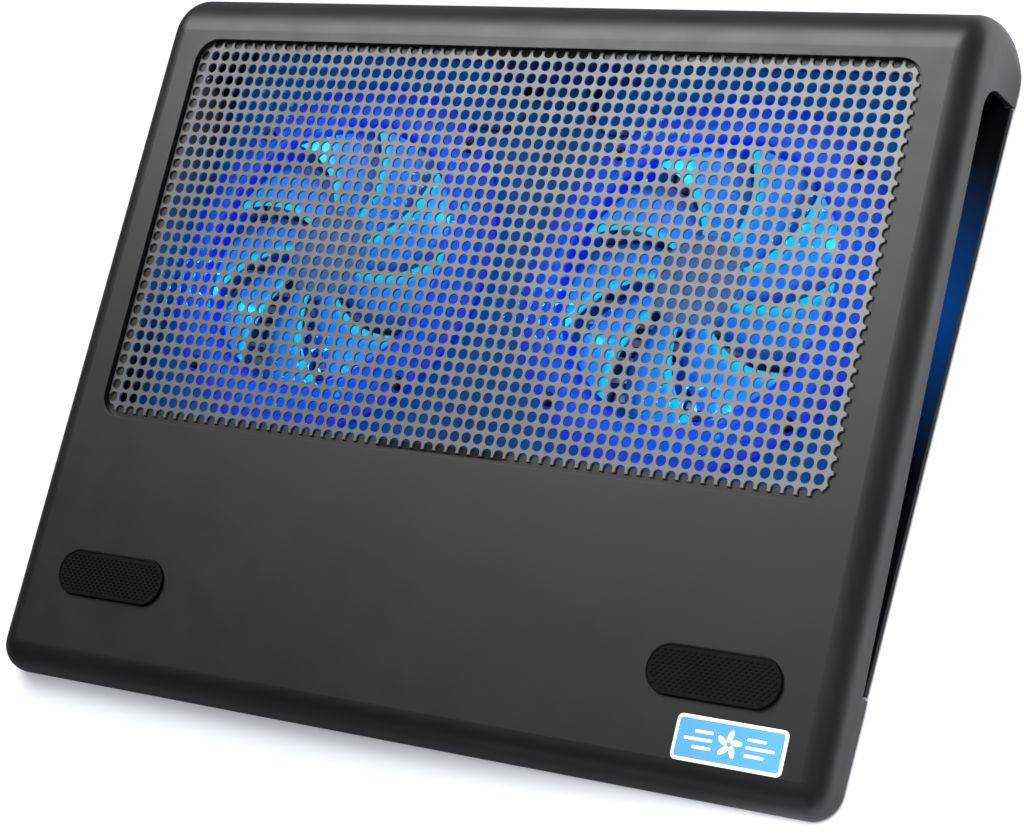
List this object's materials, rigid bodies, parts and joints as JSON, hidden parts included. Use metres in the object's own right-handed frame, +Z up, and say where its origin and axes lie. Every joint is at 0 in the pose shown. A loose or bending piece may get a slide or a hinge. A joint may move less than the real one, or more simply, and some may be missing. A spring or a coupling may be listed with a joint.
{
  "type": "laptop cooling pad",
  "caption": "Wedge-shaped laptop cooling pad with a perforated metal grille over two lit fans, rubber grip pads, side air slots and rear power ports.",
  "frame": {"origin": "on the desk, under the middle of the pad", "axes": "+X to the user's right along the long side, +Y to the rear, where the deck is highest, +Z up"},
  "size_m": [0.3564, 0.2763, 0.0364],
  "materials": {
    "shell_plastic": "satin charcoal moulding",
    "cover_plastic": "matt black moulding",
    "grille_metal": "light grey satin coat on perforated sheet",
    "grip_rubber": "diamond-textured rubber",
    "badge_film": "printed sky-blue film with a white border",
    "screw_steel": "zinc-plated",
    "foot_rubber": "soft matt rubber",
    "board_laminate": "solder-masked laminate",
    "switch_plastic": "black nylon",
    "knob_plastic": "ribbed black knob",
    "port_metal": "nickel-plated shell",
    "port_insert": "blue insulating tongue",
    "fan_frame_plastic": "translucent blue moulding",
    "impeller_plastic": "translucent blue moulding",
    "magnet_ferrite": "sintered ferrite",
    "shaft_steel": "ground",
    "bush_bronze": "sintered bronze",
    "core_steel": "stacked laminations",
    "coil_copper": "enamelled copper wire",
    "led_lens": "clear blue lamp",
    "lead_jacket": "two-core lead",
    "plug_plastic": "natural nylon plug"
  },
  "bodies": {
    "case": {"top_shell": "shell_plastic", "bottom_cover": "cover_plastic", "mesh_grille": "grille_metal", "grip_pad_left": "grip_rubber", "grip_pad_right": "grip_rubber", "front_badge": "badge_film", "case_screws": "screw_steel", "foot_front_left": "foot_rubber", "foot_front_right": "foot_rubber", "foot_rear_left": "foot_rubber", "foot_rear_right": "foot_rubber", "main_board": "board_laminate", "board_screws": "screw_steel", "switch_body": "switch_plastic", "usb_power_inlet": "port_metal", "usb_pass_through": "port_metal", "inlet_tongue": "port_insert", "pass_through_tongue": "port_insert", "fan_frame_left": "fan_frame_plastic", "bearing_bush_left": "bush_bronze", "stator_core_left": "core_steel", "stator_coils_left": "coil_copper", "fan_board_left": "board_laminate", "fan_leds_left": "led_lens", "fan_screws_left": "screw_steel", "fan_lead_left": "lead_jacket", "lead_plug_left": "plug_plastic", "fan_frame_right": "fan_frame_plastic", "bearing_bush_right": "bush_bronze", "stator_core_right": "core_steel", "stator_coils_right": "coil_copper", "fan_board_right": "board_laminate", "fan_leds_right": "led_lens", "fan_screws_right": "screw_steel", "fan_lead_right": "lead_jacket", "lead_plug_right": "plug_plastic"},
    "rotor_left": {"impeller_left": "impeller_plastic", "magnet_ring_left": "magnet_ferrite", "motor_shaft_left": "shaft_steel"},
    "rotor_right": {"impeller_right": "impeller_plastic", "magnet_ring_right": "magnet_ferrite", "motor_shaft_right": "shaft_steel"},
    "knob": {"switch_knob": "knob_plastic"}
  },
  "joints": [
    {"name": "fan_left_spin", "type": "hinge", "parent": "case", "child": "rotor_left", "pos_m": [-0.0808, 0.0375, 0.011], "axis": [0, 0, 1], "continuous": true},
    {"name": "fan_right_spin", "type": "hinge", "parent": "case", "child": "rotor_right", "pos_m": [0.0808, 0.0375, 0.011], "axis": [0, 0, 1], "continuous": true},
    {"name": "power_switch_slide", "type": "slide", "parent": "case", "child": "knob", "axis": [1, 0, 0], "range_m": [0, 0.003]}
  ]
}
